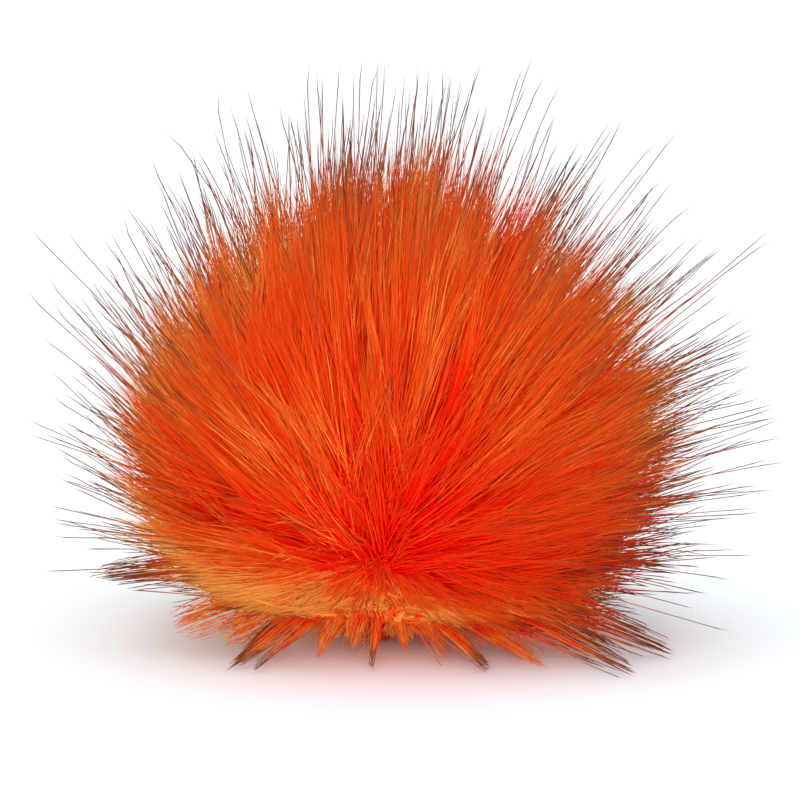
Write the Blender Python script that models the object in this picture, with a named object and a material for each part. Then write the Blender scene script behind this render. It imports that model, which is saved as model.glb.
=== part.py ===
"""Fur pom pom: one closed body of long fur locks, fused at their roots on a round backing.

Metres, +Z up.  The origin is the centre of the flat spot that the pom pom rests on.  The fur is
combed away from a parting, a point that faces -Y and slightly upwards.  Directions are unit
vectors from the centre of the backing.
"""

import math
import random
from collections import namedtuple

import bmesh
import bpy
from mathutils import Vector

MM = 0.001
PARTS_COLLECTION = "fur_pom_pom"

# The backing: the round body of gathered cloth that the locks grow from.
BACKING_HEIGHT = 17.5 * MM  # centre of the backing above the surface
FLAT_RADIUS = 9.5 * MM  # flat spot under the backing
FLAT_SIDES = 9
BACKING_RADIUS = math.hypot(BACKING_HEIGHT, FLAT_RADIUS)
BACKING_CENTRE = Vector((0.0, 0.0, BACKING_HEIGHT))

# The layout of the locks.  Each triangle between neighbouring root points carries one lock.
ROOT_POINTS = 150
ROOT_SCATTER = 0.055  # how far a root point strays from the even spiral, in radians
LOWEST_ROOT = math.radians(-50.0)  # below this the rim of the flat spot takes over
SEED = 12

# The lie of the fur.
PARTING_ELEVATION = math.radians(9.0)
COMB_POWER = 0.72  # under 1, the tips lie further from the parting than the roots
COMB_FADE = math.radians(50.0)  # the combing fades out over this angle below the middle
DROOP_SHARE = 0.62  # how much of its downward slope a lock keeps at its tip
FLOOR_EASE = 1.5 * MM  # below this height a lock levels out along the surface

# How far the fur reaches from the centre of the backing, by elevation, on its four sides.
Reach = namedtuple("Reach", "elevation_deg left_mm right_mm front_mm back_mm")
REACHES = (
    Reach(-45.0, 24.5, 24.5, 24.0, 24.5),
    Reach(-30.0, 28.5, 32.0, 25.5, 31.0),
    Reach(-15.0, 37.5, 44.0, 32.5, 42.0),
    Reach(0.0, 47.0, 54.0, 45.5, 52.0),
    Reach(15.0, 56.0, 62.5, 55.0, 59.0),
    Reach(30.0, 62.5, 68.5, 62.5, 66.0),
    Reach(45.0, 67.0, 74.5, 69.5, 71.0),
    Reach(60.0, 72.5, 78.5, 75.0, 75.0),
    Reach(75.0, 78.0, 81.5, 79.5, 78.5),
    Reach(90.0, 82.0, 82.0, 82.0, 82.0),
)
PARTING_DEPTH = 0.30  # share of the reach that is missing in the middle of the parting
PARTING_SPREAD = math.radians(34.0)

# One lock: rings of three corners from root to tip, and then its point.
LockRing = namedtuple("LockRing", "along width")
LOCK_RINGS = (
    LockRing(0.10, 0.86),
    LockRing(0.38, 0.90),
    LockRing(0.66, 0.90),
    LockRing(0.84, 0.74),
    LockRing(0.95, 0.38),
)
LOCK_WIDTH_LEAST = 0.92
LOCK_SHORTEST = -1.0 * MM  # how far past the reach of the fur a lock ends
LOCK_LONGEST = 7.0 * MM
GUARD_EVERY = 5  # one lock in so many is a long, thin tuft of guard hair
GUARD_WIDTH = 0.62  # width of such a tuft, as a share of the other locks'
GUARD_SHORTEST = 11.0 * MM
GUARD_LONGEST = 20.0 * MM
SHORTEST_PILE = 5.0 * MM
FULL_PILE = 32.0 * MM  # a lock with a shorter pile than this gets less of the further length
OVERSHOOT_TURN = 0.3  # how much a lock keeps turning past the reach of the fur
TIP_BEND = 0.38  # how far a tip strays inside its own cell

SHARP_ANGLE = math.radians(40.0)  # edges that turn more than this are shaded as creases
NIL = 1e-6  # a length or a height under this, in metres, counts as none
FUR_COLOUR = (0.72, 0.13, 0.015, 1.0)
FUR_ROUGHNESS = 0.85


def clear_scene():
    """Remove every object, mesh and material that the file opened with."""
    for item in list(bpy.data.objects):
        bpy.data.objects.remove(item)
    for mesh in list(bpy.data.meshes):
        bpy.data.meshes.remove(mesh)


def make_collection(name):
    """Return a new collection of this name in the scene."""
    collection = bpy.data.collections.new(name)
    bpy.context.scene.collection.children.link(collection)
    return collection


def fur_material():
    """Return the matt orange of the fur."""
    material = bpy.data.materials.new("orange_fur")
    material.use_nodes = True
    shader = material.node_tree.nodes["Principled BSDF"]
    shader.inputs["Base Color"].default_value = FUR_COLOUR
    shader.inputs["Roughness"].default_value = FUR_ROUGHNESS
    shader.inputs["Metallic"].default_value = 0.0
    return material


def parting_axis():
    """Return the direction from the backing's centre to the parting."""
    return Vector((0.0, -math.cos(PARTING_ELEVATION), math.sin(PARTING_ELEVATION)))


def turn_from_parting(direction, angle):
    """Return the direction at this angle from the parting, on the same side of it."""
    axis = parting_axis()
    sideways = (direction - axis * direction.dot(axis)).normalized()
    return axis * math.cos(angle) + sideways * math.sin(angle)


def elevation_of(direction):
    """Return the angle of a direction above the horizontal."""
    return math.asin(max(-1.0, min(1.0, direction.z)))


def combed(direction):
    """Return where a root's tip points after combing away from the parting."""
    angle = direction.angle(parting_axis())
    swept = math.pi * (angle / math.pi) ** COMB_POWER
    share = max(0.0, min(1.0, 1.0 + elevation_of(direction) / COMB_FADE))
    return turn_from_parting(direction, angle + (swept - angle) * share)


def uncombed(direction):
    """Return the root direction whose combed tip points this way."""
    angle = direction.angle(parting_axis())
    return turn_from_parting(direction, math.pi * (angle / math.pi) ** (1.0 / COMB_POWER))


def lifted(direction):
    """Return the direction with its downward slope reduced, as fur that lies on a surface."""
    elevation = elevation_of(direction)
    if elevation >= 0.0:
        return direction
    level = Vector((direction.x, direction.y, 0.0)).normalized()
    slope = elevation * DROOP_SHARE
    return level * math.cos(slope) + Vector((0.0, 0.0, math.sin(slope)))


def reach_row(elevation_deg):
    """Return the four reaches at this elevation, between the rows of the table."""
    lower = REACHES[0]
    for upper in REACHES[1:]:
        if elevation_deg <= upper.elevation_deg:
            break
        lower = upper
    span = upper.elevation_deg - lower.elevation_deg
    share = max(0.0, min(1.0, (elevation_deg - lower.elevation_deg) / span))
    return Reach(*(low + (high - low) * share for low, high in zip(lower, upper)))


def reach(direction):
    """Return how far the fur reaches from the backing's centre in this direction."""
    row = reach_row(math.degrees(elevation_of(direction)))
    level = math.hypot(direction.x, direction.y)
    across = (direction.x / level) ** 2 if level > NIL else 0.0
    side = row.right_mm if direction.x > 0.0 else row.left_mm
    end = row.back_mm if direction.y > 0.0 else row.front_mm
    dimple = math.exp(-((direction.angle(parting_axis()) / PARTING_SPREAD) ** 2))
    return (end + (side - end) * across) * (1.0 - PARTING_DEPTH * dimple) * MM


def pile(root):
    """Return the length of the fur over a root point."""
    tip_direction = lifted(combed((root - BACKING_CENTRE).normalized()))
    return max(reach(tip_direction) - BACKING_RADIUS, SHORTEST_PILE)


def flow(root, share):
    """Return the point at this share of the way along the fur that grows from a root point."""
    start = (root - BACKING_CENTRE).normalized()
    end = lifted(combed(start))
    turn_share = min(share, 1.0) + OVERSHOOT_TURN * max(share - 1.0, 0.0)
    turned = start.lerp(end, turn_share).normalized()
    point = BACKING_CENTRE + turned * (BACKING_RADIUS + pile(root) * share)
    if point.z < FLOOR_EASE:
        point.z = FLOOR_EASE * math.exp(point.z / FLOOR_EASE - 1.0)
    return point


def spiral_directions(count, scatter):
    """Return evenly spread directions on a golden spiral, each a little off its place."""
    golden_turn = math.pi * (3.0 - math.sqrt(5.0))
    directions = []
    for index in range(count):
        height = 1.0 - 2.0 * (index + 0.5) / count
        ring = math.sqrt(1.0 - height * height)
        turn = golden_turn * index
        even = Vector((ring * math.cos(turn), ring * math.sin(turn), height))
        stray = Vector((scatter.gauss(0, 1), scatter.gauss(0, 1), scatter.gauss(0, 1)))
        directions.append((even + stray * ROOT_SCATTER).normalized())
    return directions


def root_points(scatter):
    """Return the root points on the backing, with the rim of the flat spot."""
    points = []
    for tip_direction in spiral_directions(ROOT_POINTS, scatter):
        root_direction = uncombed(tip_direction)
        if elevation_of(root_direction) > LOWEST_ROOT:
            points.append(BACKING_CENTRE + root_direction * BACKING_RADIUS)
    for index in range(FLAT_SIDES):
        turn = math.tau * index / FLAT_SIDES
        points.append(Vector((math.cos(turn), math.sin(turn), 0.0)) * FLAT_RADIUS)
    return points


def add_backing(bm, points):
    """Span the root points with the backing's faces and merge the flat spot into one."""
    verts = [bm.verts.new(point) for point in points]
    bmesh.ops.convex_hull(bm, input=verts)
    flat = [face for face in bm.faces if all(abs(v.co.z) < NIL for v in face.verts)]
    bmesh.ops.dissolve_faces(bm, faces=flat)
    bm.normal_update()


def lock_shape(roots, index, scatter):
    """Return a lock's length as a share of the pile, and its width as a share of its cell."""
    longest_pile = max(pile(root) for root in roots)
    width = scatter.uniform(LOCK_WIDTH_LEAST, 1.0)
    further = scatter.uniform(LOCK_SHORTEST, LOCK_LONGEST)
    if index % GUARD_EVERY == 0:
        width *= GUARD_WIDTH
        further = scatter.uniform(GUARD_SHORTEST, GUARD_LONGEST)
    return 1.0 + further / max(longest_pile, FULL_PILE), width


def lock_ring(roots, along, width):
    """Return the corners of a lock's cross-section, drawn in towards its middle."""
    corners = [flow(root, along) for root in roots]
    middle = sum(corners, Vector()) / len(corners)
    return [middle.lerp(corner, width) for corner in corners]


def grow_lock(bm, face, index, scatter):
    """Extrude one face of the backing into a lock that follows the lie of the fur."""
    roots = [vert.co.copy() for vert in face.verts]
    length, width = lock_shape(roots, index, scatter)
    for ring in LOCK_RINGS:
        face = bmesh.ops.extrude_discrete_faces(bm, faces=[face])["faces"][0]
        corners = lock_ring(roots, ring.along * length, ring.width * width)
        for vert, corner in zip(face.verts, corners):
            vert.co = corner
    leaning = scatter.randrange(len(roots))
    ends = lock_ring(roots, length, 1.0)
    tip = bmesh.ops.poke(bm, faces=[face])["verts"][0]
    tip.co = (sum(ends, Vector()) / len(ends)).lerp(ends[leaning], TIP_BEND)


def build_fur_ball(collection, material):
    """Build the whole pom pom as one closed body."""
    scatter = random.Random(SEED)
    bm = bmesh.new()
    add_backing(bm, root_points(scatter))
    cells = [face for face in bm.faces if len(face.verts) == 3]
    for index, face in enumerate(cells):
        grow_lock(bm, face, index, scatter)
    bmesh.ops.recalc_face_normals(bm, faces=bm.faces)
    bmesh.ops.triangulate(bm, faces=[face for face in bm.faces if len(face.verts) > 3])
    mesh = bpy.data.meshes.new("fur_ball")
    bm.to_mesh(mesh)
    bm.free()
    mesh.materials.append(material)
    mesh.shade_smooth()
    mesh.set_sharp_from_angle(angle=SHARP_ANGLE)
    fur_ball = bpy.data.objects.new("fur_ball", mesh)
    collection.objects.link(fur_ball)
    return fur_ball


def main():
    """Build the pom pom in a collection of its own."""
    clear_scene()
    collection = make_collection(PARTS_COLLECTION)
    build_fur_ball(collection, fur_material())


main()
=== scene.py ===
"""Looks of the fur pom pom: a dense coat of fur strands over its gathered cloth backing.

Everything is in metres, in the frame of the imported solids: +Z up, the parting of the fur faces
-Y, and the flat spot under the pom pom lies at the origin.  A strand grows from a root direction
on the backing and is combed away from the parting, in the same lie as the solid locks.
"""

import logging
import math
from dataclasses import dataclass, field
from enum import Enum
from typing import Optional, Union

import bpy
import numpy as np
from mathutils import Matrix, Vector
from mathutils.kdtree import KDTree


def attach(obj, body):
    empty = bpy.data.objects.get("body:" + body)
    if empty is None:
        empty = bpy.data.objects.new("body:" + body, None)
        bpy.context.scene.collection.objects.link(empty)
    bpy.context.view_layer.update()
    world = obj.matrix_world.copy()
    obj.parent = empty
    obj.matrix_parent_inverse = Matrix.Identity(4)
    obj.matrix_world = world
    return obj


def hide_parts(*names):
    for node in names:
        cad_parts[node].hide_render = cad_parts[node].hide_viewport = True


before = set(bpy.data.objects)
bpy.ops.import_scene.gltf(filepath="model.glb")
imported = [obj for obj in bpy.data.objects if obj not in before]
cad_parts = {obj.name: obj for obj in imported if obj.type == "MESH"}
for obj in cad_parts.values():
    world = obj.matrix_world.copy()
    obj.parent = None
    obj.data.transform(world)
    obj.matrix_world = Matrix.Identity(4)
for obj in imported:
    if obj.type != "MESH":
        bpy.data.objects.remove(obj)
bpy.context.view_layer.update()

LOG = logging.getLogger("fur_pom_pom")
MM = 0.001
TINY = 1e-6
BODY = "root"
NODE = "fur_ball"
FUR_MAP = "OFBake"  # the strands' own UV map: tone across, root to tip upwards
Array = np.ndarray
Range = tuple[float, float]
Place = tuple[float, float, float]
Colour = tuple[float, float, float]
Stops = tuple[tuple[float, Colour], ...]
Operand = Union["Value", float]


# ---- shader maths


class Value:
    """One shader socket that takes part in Python expressions.

    Args:
        graph: The material that the socket belongs to.
        socket: The output socket.
    """

    def __init__(self, graph: "Graph", socket: bpy.types.NodeSocket) -> None:
        """Keep the socket and its graph."""
        self.graph = graph
        self.socket = socket

    def _maths(self, operation: str, first: Operand, second: Operand) -> "Value":
        """Return the result of one Math node."""
        return self.graph.node("ShaderNodeMath", {"operation": operation}, {0: first, 1: second})

    def __add__(self, other: Operand) -> "Value":
        """Return self + other."""
        return self._maths("ADD", self, other)

    def __radd__(self, other: Operand) -> "Value":
        """Return other + self."""
        return self._maths("ADD", other, self)

    def __sub__(self, other: Operand) -> "Value":
        """Return self - other."""
        return self._maths("SUBTRACT", self, other)

    def __rsub__(self, other: Operand) -> "Value":
        """Return other - self."""
        return self._maths("SUBTRACT", other, self)

    def __mul__(self, other: Operand) -> "Value":
        """Return self * other."""
        return self._maths("MULTIPLY", self, other)

    def __rmul__(self, other: Operand) -> "Value":
        """Return other * self."""
        return self._maths("MULTIPLY", other, self)

    def __truediv__(self, other: Operand) -> "Value":
        """Return self / other."""
        return self._maths("DIVIDE", self, other)

    def __rtruediv__(self, other: Operand) -> "Value":
        """Return other / self."""
        return self._maths("DIVIDE", other, self)

    def ease(self, low: float, high: float) -> "Value":
        """Return 0 below low, 1 above high and a smooth step between them."""
        settings = {"interpolation_type": "SMOOTHSTEP"}
        return self.graph.node("ShaderNodeMapRange", settings, {0: self, 1: low, 2: high})

    def ramp(self, stops: Stops) -> "Value":
        """Return the colour of a ramp at this value."""
        return self.graph.node("ShaderNodeValToRGB", {"stops": stops}, {0: self})


class Graph:
    """The nodes of one material.

    Args:
        name: The material's name.
    """

    def __init__(self, name: str) -> None:
        """Start a material with its Principled shader alone."""
        self.material = bpy.data.materials.new(name)
        self.material.use_nodes = True
        self.tree = self.material.node_tree
        self.shader = self.tree.nodes["Principled BSDF"]

    def node(
        self,
        kind: str,
        settings: Optional[dict[str, object]] = None,
        inputs: Optional[dict[object, object]] = None,
        output: object = 0,
    ) -> Value:
        """Add one node.

        Args:
            kind: The node's type.
            settings: What is set on the node itself, before its inputs.
            inputs: Numbers, colours or links, by the input's name or number.
            output: The output that is returned.

        Returns:
            The chosen output as a value.
        """
        node = self.tree.nodes.new(kind)
        for name, setting in (settings or {}).items():
            if name == "stops":
                self._set_stops(node.color_ramp, setting)
            else:
                setattr(node, name, setting)
        for name, given in (inputs or {}).items():
            if isinstance(given, Value):
                self.tree.links.new(given.socket, node.inputs[name])
            else:
                node.inputs[name].default_value = given
        return Value(self, node.outputs[output])

    @staticmethod
    def _set_stops(ramp: bpy.types.ColorRamp, stops: Stops) -> None:
        """Give a ramp its stops.

        Args:
            ramp: The ramp of a new Color Ramp node.
            stops: Places from 0 to 1, with their colours.
        """
        for place, colour in stops[2:]:
            ramp.elements.new(place).color = (*colour, 1.0)
        for element, (place, colour) in zip(ramp.elements, stops):
            element.position = place
            element.color = (*colour, 1.0)

    def mix(self, share: Value, first: Value, second: Value) -> Value:
        """Return the first colour mixed with this share, from 0 to 1, of the second."""
        return self.node("ShaderNodeMix", {"data_type": "RGBA"}, {0: share, 6: first, 7: second}, 2)

    def colour(self, value: Colour) -> Value:
        """Return a constant colour."""
        constant = self.node("ShaderNodeRGB")
        constant.socket.default_value = (*value, 1.0)
        return constant

    def fur_map(self) -> list[Value]:
        """Return the tone of a strand and the share of the way from its root to its tip."""
        place = self.node("ShaderNodeUVMap", {"uv_map": FUR_MAP})
        return [self.node("ShaderNodeSeparateXYZ", inputs={0: place}, output=axis) for axis in (0, 1)]

    def noise(self, across: Value, along: Value, scale: Range) -> Value:
        """Return noise from 0 to 1 over the strands' map.

        Args:
            across: The place across the map.
            along: The place along the strand.
            scale: Waves of the noise over the map, across and along.

        Returns:
            The noise.
        """
        place = self.node("ShaderNodeCombineXYZ", inputs={0: across * scale[0], 1: along * scale[1]})
        return self.node(
            "ShaderNodeTexNoise", {"noise_dimensions": "2D"}, {"Vector": place, "Scale": 1.0}
        )

    def link(self, name: str, value: Value) -> None:
        """Link one of the shader's inputs."""
        self.tree.links.new(value.socket, self.shader.inputs[name])

    def constants(self, **values: object) -> None:
        """Set the shader's own numbers and colours, named with low lines for spaces."""
        for name, value in values.items():
            self.shader.inputs[name.replace("_", " ")].default_value = value


# ---- the finishes


@dataclass(frozen=True)
class FurMap:
    """How the strands' own map is laid out: pile on its left half, guard hair on its right."""

    pile_start: float = 0.01
    guard_start: float = 0.51
    width: float = 0.46
    strand: float = 0.0012
    margin: float = 0.004

    def place(self, tone: Array, guard: Union[bool, Array]) -> Array:
        """Return where strands of this tone lie across the map, as guard hair or as pile."""
        start = np.where(guard, self.guard_start, self.pile_start)
        return start + np.clip(tone, 0.0, 1.0) * self.width


@dataclass(frozen=True)
class FurFinish:
    """Acrylic fur: orange along the hair and brown to black at guard hairs' tips, with painted shade
    of the fur's depths as red at the roots.

    `deep`, `plain` and `pale` are the colours from root to tip at three tones, red at the root as
    painted shade.  The ranges named after them are of tones, those of `browned` and `blackened` are
    of the way along a guard hair, and `spared_share` is how much of the black is gone at the paler
    tones.  The fur also gives off its own colour as a painted glow, in place of light scattered
    inside it.
    """

    roughness: float = 0.6
    shine: float = 0.03
    # painted glow: the fur gives off its own colour as light, standing in for light scattered inside
    # it
    painted_glow: float = 0.12
    mottle: float = 0.9
    mottle_scale: Range = (45.0, 6.0)
    # painted shade: each ramp is red near the root for the shade deep in the fur; the orange further
    # along is the fur's own colour
    deep: Stops = (
        (0.0, (0.78, 0.0008, 0.0004)),
        (0.40, (0.77, 0.0012, 0.0006)),
        (0.70, (0.77, 0.0050, 0.0011)),
        (0.86, (0.76, 0.032, 0.0030)),
        (1.0, (0.62, 0.060, 0.0090)),
    )
    plain: Stops = (
        (0.0, (0.78, 0.0008, 0.0004)),
        (0.30, (0.78, 0.0020, 0.0006)),
        (0.50, (0.78, 0.0075, 0.0009)),
        (0.66, (0.78, 0.021, 0.0017)),
        (0.85, (0.80, 0.066, 0.0036)),
        (0.95, (0.76, 0.105, 0.0080)),
        (1.0, (0.60, 0.110, 0.0150)),
    )
    pale: Stops = (
        (0.0, (0.80, 0.012, 0.0016)),
        (0.25, (0.84, 0.045, 0.005)),
        (0.60, (0.90, 0.290, 0.038)),
        (0.90, (0.93, 0.380, 0.075)),
        (1.0, (0.88, 0.310, 0.068)),
    )
    rust: Colour = (0.41, 0.038, 0.013)
    brown: Colour = (0.26, 0.066, 0.023)
    black: Colour = (0.045, 0.014, 0.011)
    middle: Range = (0.499, 0.501)
    to_plain: Range = (0.0, 0.5)
    to_pale: Range = (0.45, 1.0)
    to_brown: Range = (0.10, 0.50)
    browned: Range = (0.66, 0.88)
    blackened: Range = (0.82, 0.97)
    spared: Range = (0.10, 0.70)
    spared_share: float = 0.9

    def material(self) -> bpy.types.Material:
        """Make the fur's material, read from the strands' own map.

        Returns:
            The material.
        """
        graph = Graph("orange_fur")
        across, along = graph.fur_map()
        guard = across.ease(*self.middle)
        tone = (across - guard * FurMap.guard_start) / FurMap.width
        tone = tone + (graph.noise(across, along, self.mottle_scale) - 0.5) * self.mottle
        deeper = graph.mix(tone.ease(*self.to_plain), along.ramp(self.deep), along.ramp(self.plain))
        body = graph.mix(tone.ease(*self.to_pale), deeper, along.ramp(self.pale))
        rust, brown, black = map(graph.colour, (self.rust, self.brown, self.black))
        ends = graph.mix(tone.ease(*self.to_brown), rust, brown)
        browned = graph.mix(guard * along.ease(*self.browned), body, ends)
        spared = tone.ease(*self.spared) * self.spared_share
        tipped = guard * along.ease(*self.blackened) * (1.0 - spared)
        colour = graph.mix(tipped, browned, black)
        graph.link("Base Color", colour)
        # painted glow: the fur's colour is also given off as light, in place of light scattered
        # inside the fur
        graph.link("Emission Color", colour)
        graph.constants(
            Roughness=self.roughness, Specular_IOR_Level=self.shine, Emission_Strength=self.painted_glow
        )
        return graph.material


@dataclass(frozen=True)
class BackingFinish:
    """The gathered cloth under the fur, dyed with it, with the roots of the fur in it."""

    stops: Stops = ((0.35, (0.50, 0.006, 0.001)), (0.65, (0.78, 0.030, 0.004)))
    tuft_scale: float = 900.0
    roughness: float = 0.8

    def material(self) -> bpy.types.Material:
        """Make the backing's material.

        Returns:
            The material.
        """
        graph = Graph("fur_backing")
        place = graph.node("ShaderNodeTexCoord", output="Object")
        tufts = graph.node("ShaderNodeTexNoise", inputs={"Vector": place, "Scale": self.tuft_scale})
        graph.link("Base Color", tufts.ramp(self.stops))
        graph.constants(Roughness=self.roughness)
        return graph.material


# ---- directions


def unit(vectors: Array) -> Array:
    """Return the vectors at length 1."""
    return vectors / np.maximum(np.linalg.norm(vectors, axis=-1, keepdims=True), 1e-12)


def eased(low: float, high: float, values: Array) -> Array:
    """Return 0 before low, 1 past high and a smooth step between them; low may be the larger."""
    share = np.clip((values - low) / (high - low), 0.0, 1.0)
    return share * share * (3.0 - 2.0 * share)


def from_least(least: float, share: Array) -> Array:
    """Return shares from 0 to 1 squeezed in between a least value and 1."""
    return least + (1.0 - least) * share


def level_ways(angles: Array) -> Array:
    """Return the level directions at these angles from +X."""
    return np.stack((np.cos(angles), np.sin(angles), np.zeros(len(angles))), axis=1)


def scattered(count: int, scatter: float, chance: np.random.Generator) -> Array:
    """Spread directions evenly on a golden spiral, each a little off its place.

    Args:
        count: How many there are.
        scatter: How far off its place each is, as a share of the gap between them.
        chance: The seeded source of the scatter.

    Returns:
        The directions.
    """
    index = np.arange(count)
    height = 1.0 - 2.0 * (index + 0.5) / count
    ring = np.sqrt(1.0 - height * height)
    turn = math.pi * (3.0 - math.sqrt(5.0)) * index
    even = np.stack((ring * np.cos(turn), ring * np.sin(turn), height), axis=1)
    gap = math.sqrt(4.0 * math.pi / count)
    return unit(even + chance.normal(0.0, scatter * gap, (count, 3)))


@dataclass(frozen=True)
class Region:
    """A part of the ball, by the way that its hair points.

    Each attribute is a range over which the part fades in, and one that runs downwards fades it
    in the other way.

    Attributes:
        right: The range of the direction's X.
        back: The range of its Y.
        up: The range of its Z.
        facing: The range of its cosine with the parting.
        aside: The range of its angle from the parting.
    """

    right: Optional[Range] = None
    back: Optional[Range] = None
    up: Optional[Range] = None
    facing: Optional[Range] = None
    aside: Optional[Range] = None

    def share(self, ways: Array, parting: Array) -> Array:
        """Return how far each direction lies in this part.

        Args:
            ways: The directions.
            parting: The direction of the parting.

        Returns:
            Shares from 0 to 1.
        """
        cosine = np.clip(ways @ parting, -1.0, 1.0)
        share = np.ones(len(ways))
        ranges = (self.right, self.back, self.up, self.facing, self.aside)
        for limits, values in zip(ranges, (*ways.T, cosine, np.arccos(cosine))):
            if limits:
                share *= eased(*limits, values)
        return share


Weighted = tuple[tuple[float, Region], ...]

RIM = Region(aside=(math.radians(55.0), math.radians(86.0)))
LOW_LEFT = Region(right=(-0.2, -0.95), up=(0.42, -0.14))
DROP = Region(up=(0.0, -0.3))


# ---- lie of the fur


@dataclass(frozen=True)
class Comb:
    """How a layer is combed away from the parting.

    Attributes:
        below: The least angle of a tip from the parting, straight below it.
        above: The same, straight above it.
        power: How the angles beyond it are spread: below 1, away from the parting.
    """

    below: float
    above: float
    power: float


@dataclass(frozen=True)
class FurFlow:
    """The lie of the fur over the backing, as in the solid locks.

    The columns of `reaches` are the elevation in degrees and the reach of the fur in millimetres
    to the left, right, front and back.
    """

    backing_height: float = 17.5 * MM
    root_radius: float = 13.0 * MM
    parting_elevation: float = math.radians(9.0)
    comb_fade: float = math.radians(50.0)
    droop_share: float = 0.50
    floor_ease: float = 1.5 * MM
    parting_depth: float = 0.30
    parting_spread: float = math.radians(34.0)
    parting_clearance: float = 0.02
    shortest_pile: float = 5.0 * MM
    full_pile: float = 32.0 * MM
    overshoot_turn: float = 0.3
    swirl: float = 0.32
    swirl_least: float = 0.25
    swirl_right: Range = (0.35, -0.45)
    swirl_up: Range = (-0.30, 0.25)
    reaches: tuple[tuple[float, float, float, float, float], ...] = (
        (-45.0, 15.0, 17.0, 14.0, 19.0),
        (-30.0, 19.0, 26.0, 17.5, 25.0),
        (-15.0, 30.5, 38.0, 26.0, 37.0),
        (0.0, 40.5, 49.5, 42.0, 49.0),
        (15.0, 52.5, 63.0, 54.0, 58.0),
        (30.0, 59.5, 66.0, 61.5, 64.0),
        (45.0, 63.5, 73.5, 68.5, 69.0),
        (60.0, 71.0, 78.5, 74.5, 73.0),
        (75.0, 78.0, 84.5, 79.0, 77.5),
        (90.0, 80.5, 80.5, 80.5, 80.5),
    )

    @property
    def centre(self) -> Array:
        """Return the centre of the backing."""
        return np.array((0.0, 0.0, self.backing_height))

    @property
    def parting(self) -> Array:
        """Return the direction from the backing's centre to the parting."""
        slope = self.parting_elevation
        return np.array((0.0, -math.cos(slope), math.sin(slope)))

    @property
    def rise(self) -> Array:
        """Return the direction that is up in the picture, square to the parting."""
        slope = self.parting_elevation
        return np.array((0.0, math.sin(slope), math.cos(slope)))

    def from_front(self, places: Array, depth: Array) -> Array:
        """Return points from their places in the picture.

        Args:
            places: Millimetres right of the parting and above it, N x 2.
            depth: Millimetres towards the viewer.

        Returns:
            The points from the backing's centre, in metres.
        """
        right = places[:, :1] * np.array((1.0, 0.0, 0.0))
        return (right + places[:, 1:] * self.rise + depth[:, None] * self.parting) * MM

    def parting_angle(self, directions: Array) -> Array:
        """Return the angle between each direction and the parting."""
        return np.arccos(np.clip(directions @ self.parting, -1.0, 1.0))

    def sideways(self, directions: Array) -> Array:
        """Return the way in which each direction leaves the parting, square to it."""
        return unit(directions - np.outer(directions @ self.parting, self.parting))

    def turned(self, directions: Array, angles: Array) -> Array:
        """Return the directions at these angles from the parting, each on its own side of it."""
        aside = np.sin(angles)[:, None] * self.sideways(directions)
        return np.cos(angles)[:, None] * self.parting + aside

    def elevation(self, directions: Array) -> Array:
        """Return the angle of each direction above the horizontal."""
        return np.arcsin(np.clip(directions[..., 2], -1.0, 1.0))

    def nearest(self, directions: Array, comb: Comb) -> Array:
        """Return the least angle of a tip from the parting, on each direction's side of it."""
        upwards = 0.5 + 0.5 * (self.sideways(directions) @ self.rise)
        return comb.below + (comb.above - comb.below) * upwards

    def combed(self, roots: Array, comb: Comb) -> Array:
        """Return where the tips point after combing.

        Args:
            roots: Root directions.
            comb: How the layer is combed.

        Returns:
            Tip directions, before the surface lifts them.
        """
        angle = self.parting_angle(roots)
        nearest = self.nearest(roots, comb)
        swept = nearest + (math.pi - nearest) * (angle / math.pi) ** comb.power
        share = np.clip(1.0 + self.elevation(roots) / self.comb_fade, 0.0, 1.0)
        return self.turned(roots, angle + (swept - angle) * share)

    def uncombed(self, tips: Array, comb: Comb) -> Array:
        """Return where hairs are rooted whose combed tips point this way.

        Args:
            tips: Tip directions.
            comb: How the layer is combed.

        Returns:
            Root directions.
        """
        nearest = self.nearest(tips, comb)
        angle = np.maximum(self.parting_angle(tips) - nearest, 0.0)
        share = (angle / (math.pi - nearest)) ** (1.0 / comb.power)
        return self.turned(tips, math.pi * share)

    def lifted(self, directions: Array) -> Array:
        """Return the directions with their downward slope reduced, as on a surface.

        Args:
            directions: The directions.

        Returns:
            The lifted directions.
        """
        elevation = self.elevation(directions)
        slope = np.where(elevation < 0.0, elevation * self.droop_share, elevation)
        level = directions.copy()
        level[:, 2] = 0.0
        raised = unit(level) * np.cos(slope)[:, None]
        raised[:, 2] = np.sin(slope)
        return raised

    def reach(self, directions: Array) -> Array:
        """Return how far the fur reaches from the backing's centre.

        Args:
            directions: The directions in which it reaches.

        Returns:
            Metres in each direction.
        """
        table = np.array(self.reaches)
        elevation = np.degrees(self.elevation(directions))
        left, right, front, back = (
            np.interp(elevation, table[:, 0], table[:, column]) for column in range(1, 5)
        )
        level = np.maximum(np.hypot(directions[:, 0], directions[:, 1]), 1e-9)
        across = (directions[:, 0] / level) ** 2
        side = np.where(directions[:, 0] > 0.0, right, left)
        end = np.where(directions[:, 1] > 0.0, back, front)
        spread = (self.parting_angle(directions) / self.parting_spread) ** 2
        return (end + (side - end) * across) * (1.0 - self.parting_depth * np.exp(-spread)) * MM

    def pile(self, tips: Array) -> Array:
        """Return the length of the fur whose tips point this way."""
        return np.maximum(self.reach(tips) - self.root_radius, self.shortest_pile)

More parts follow.
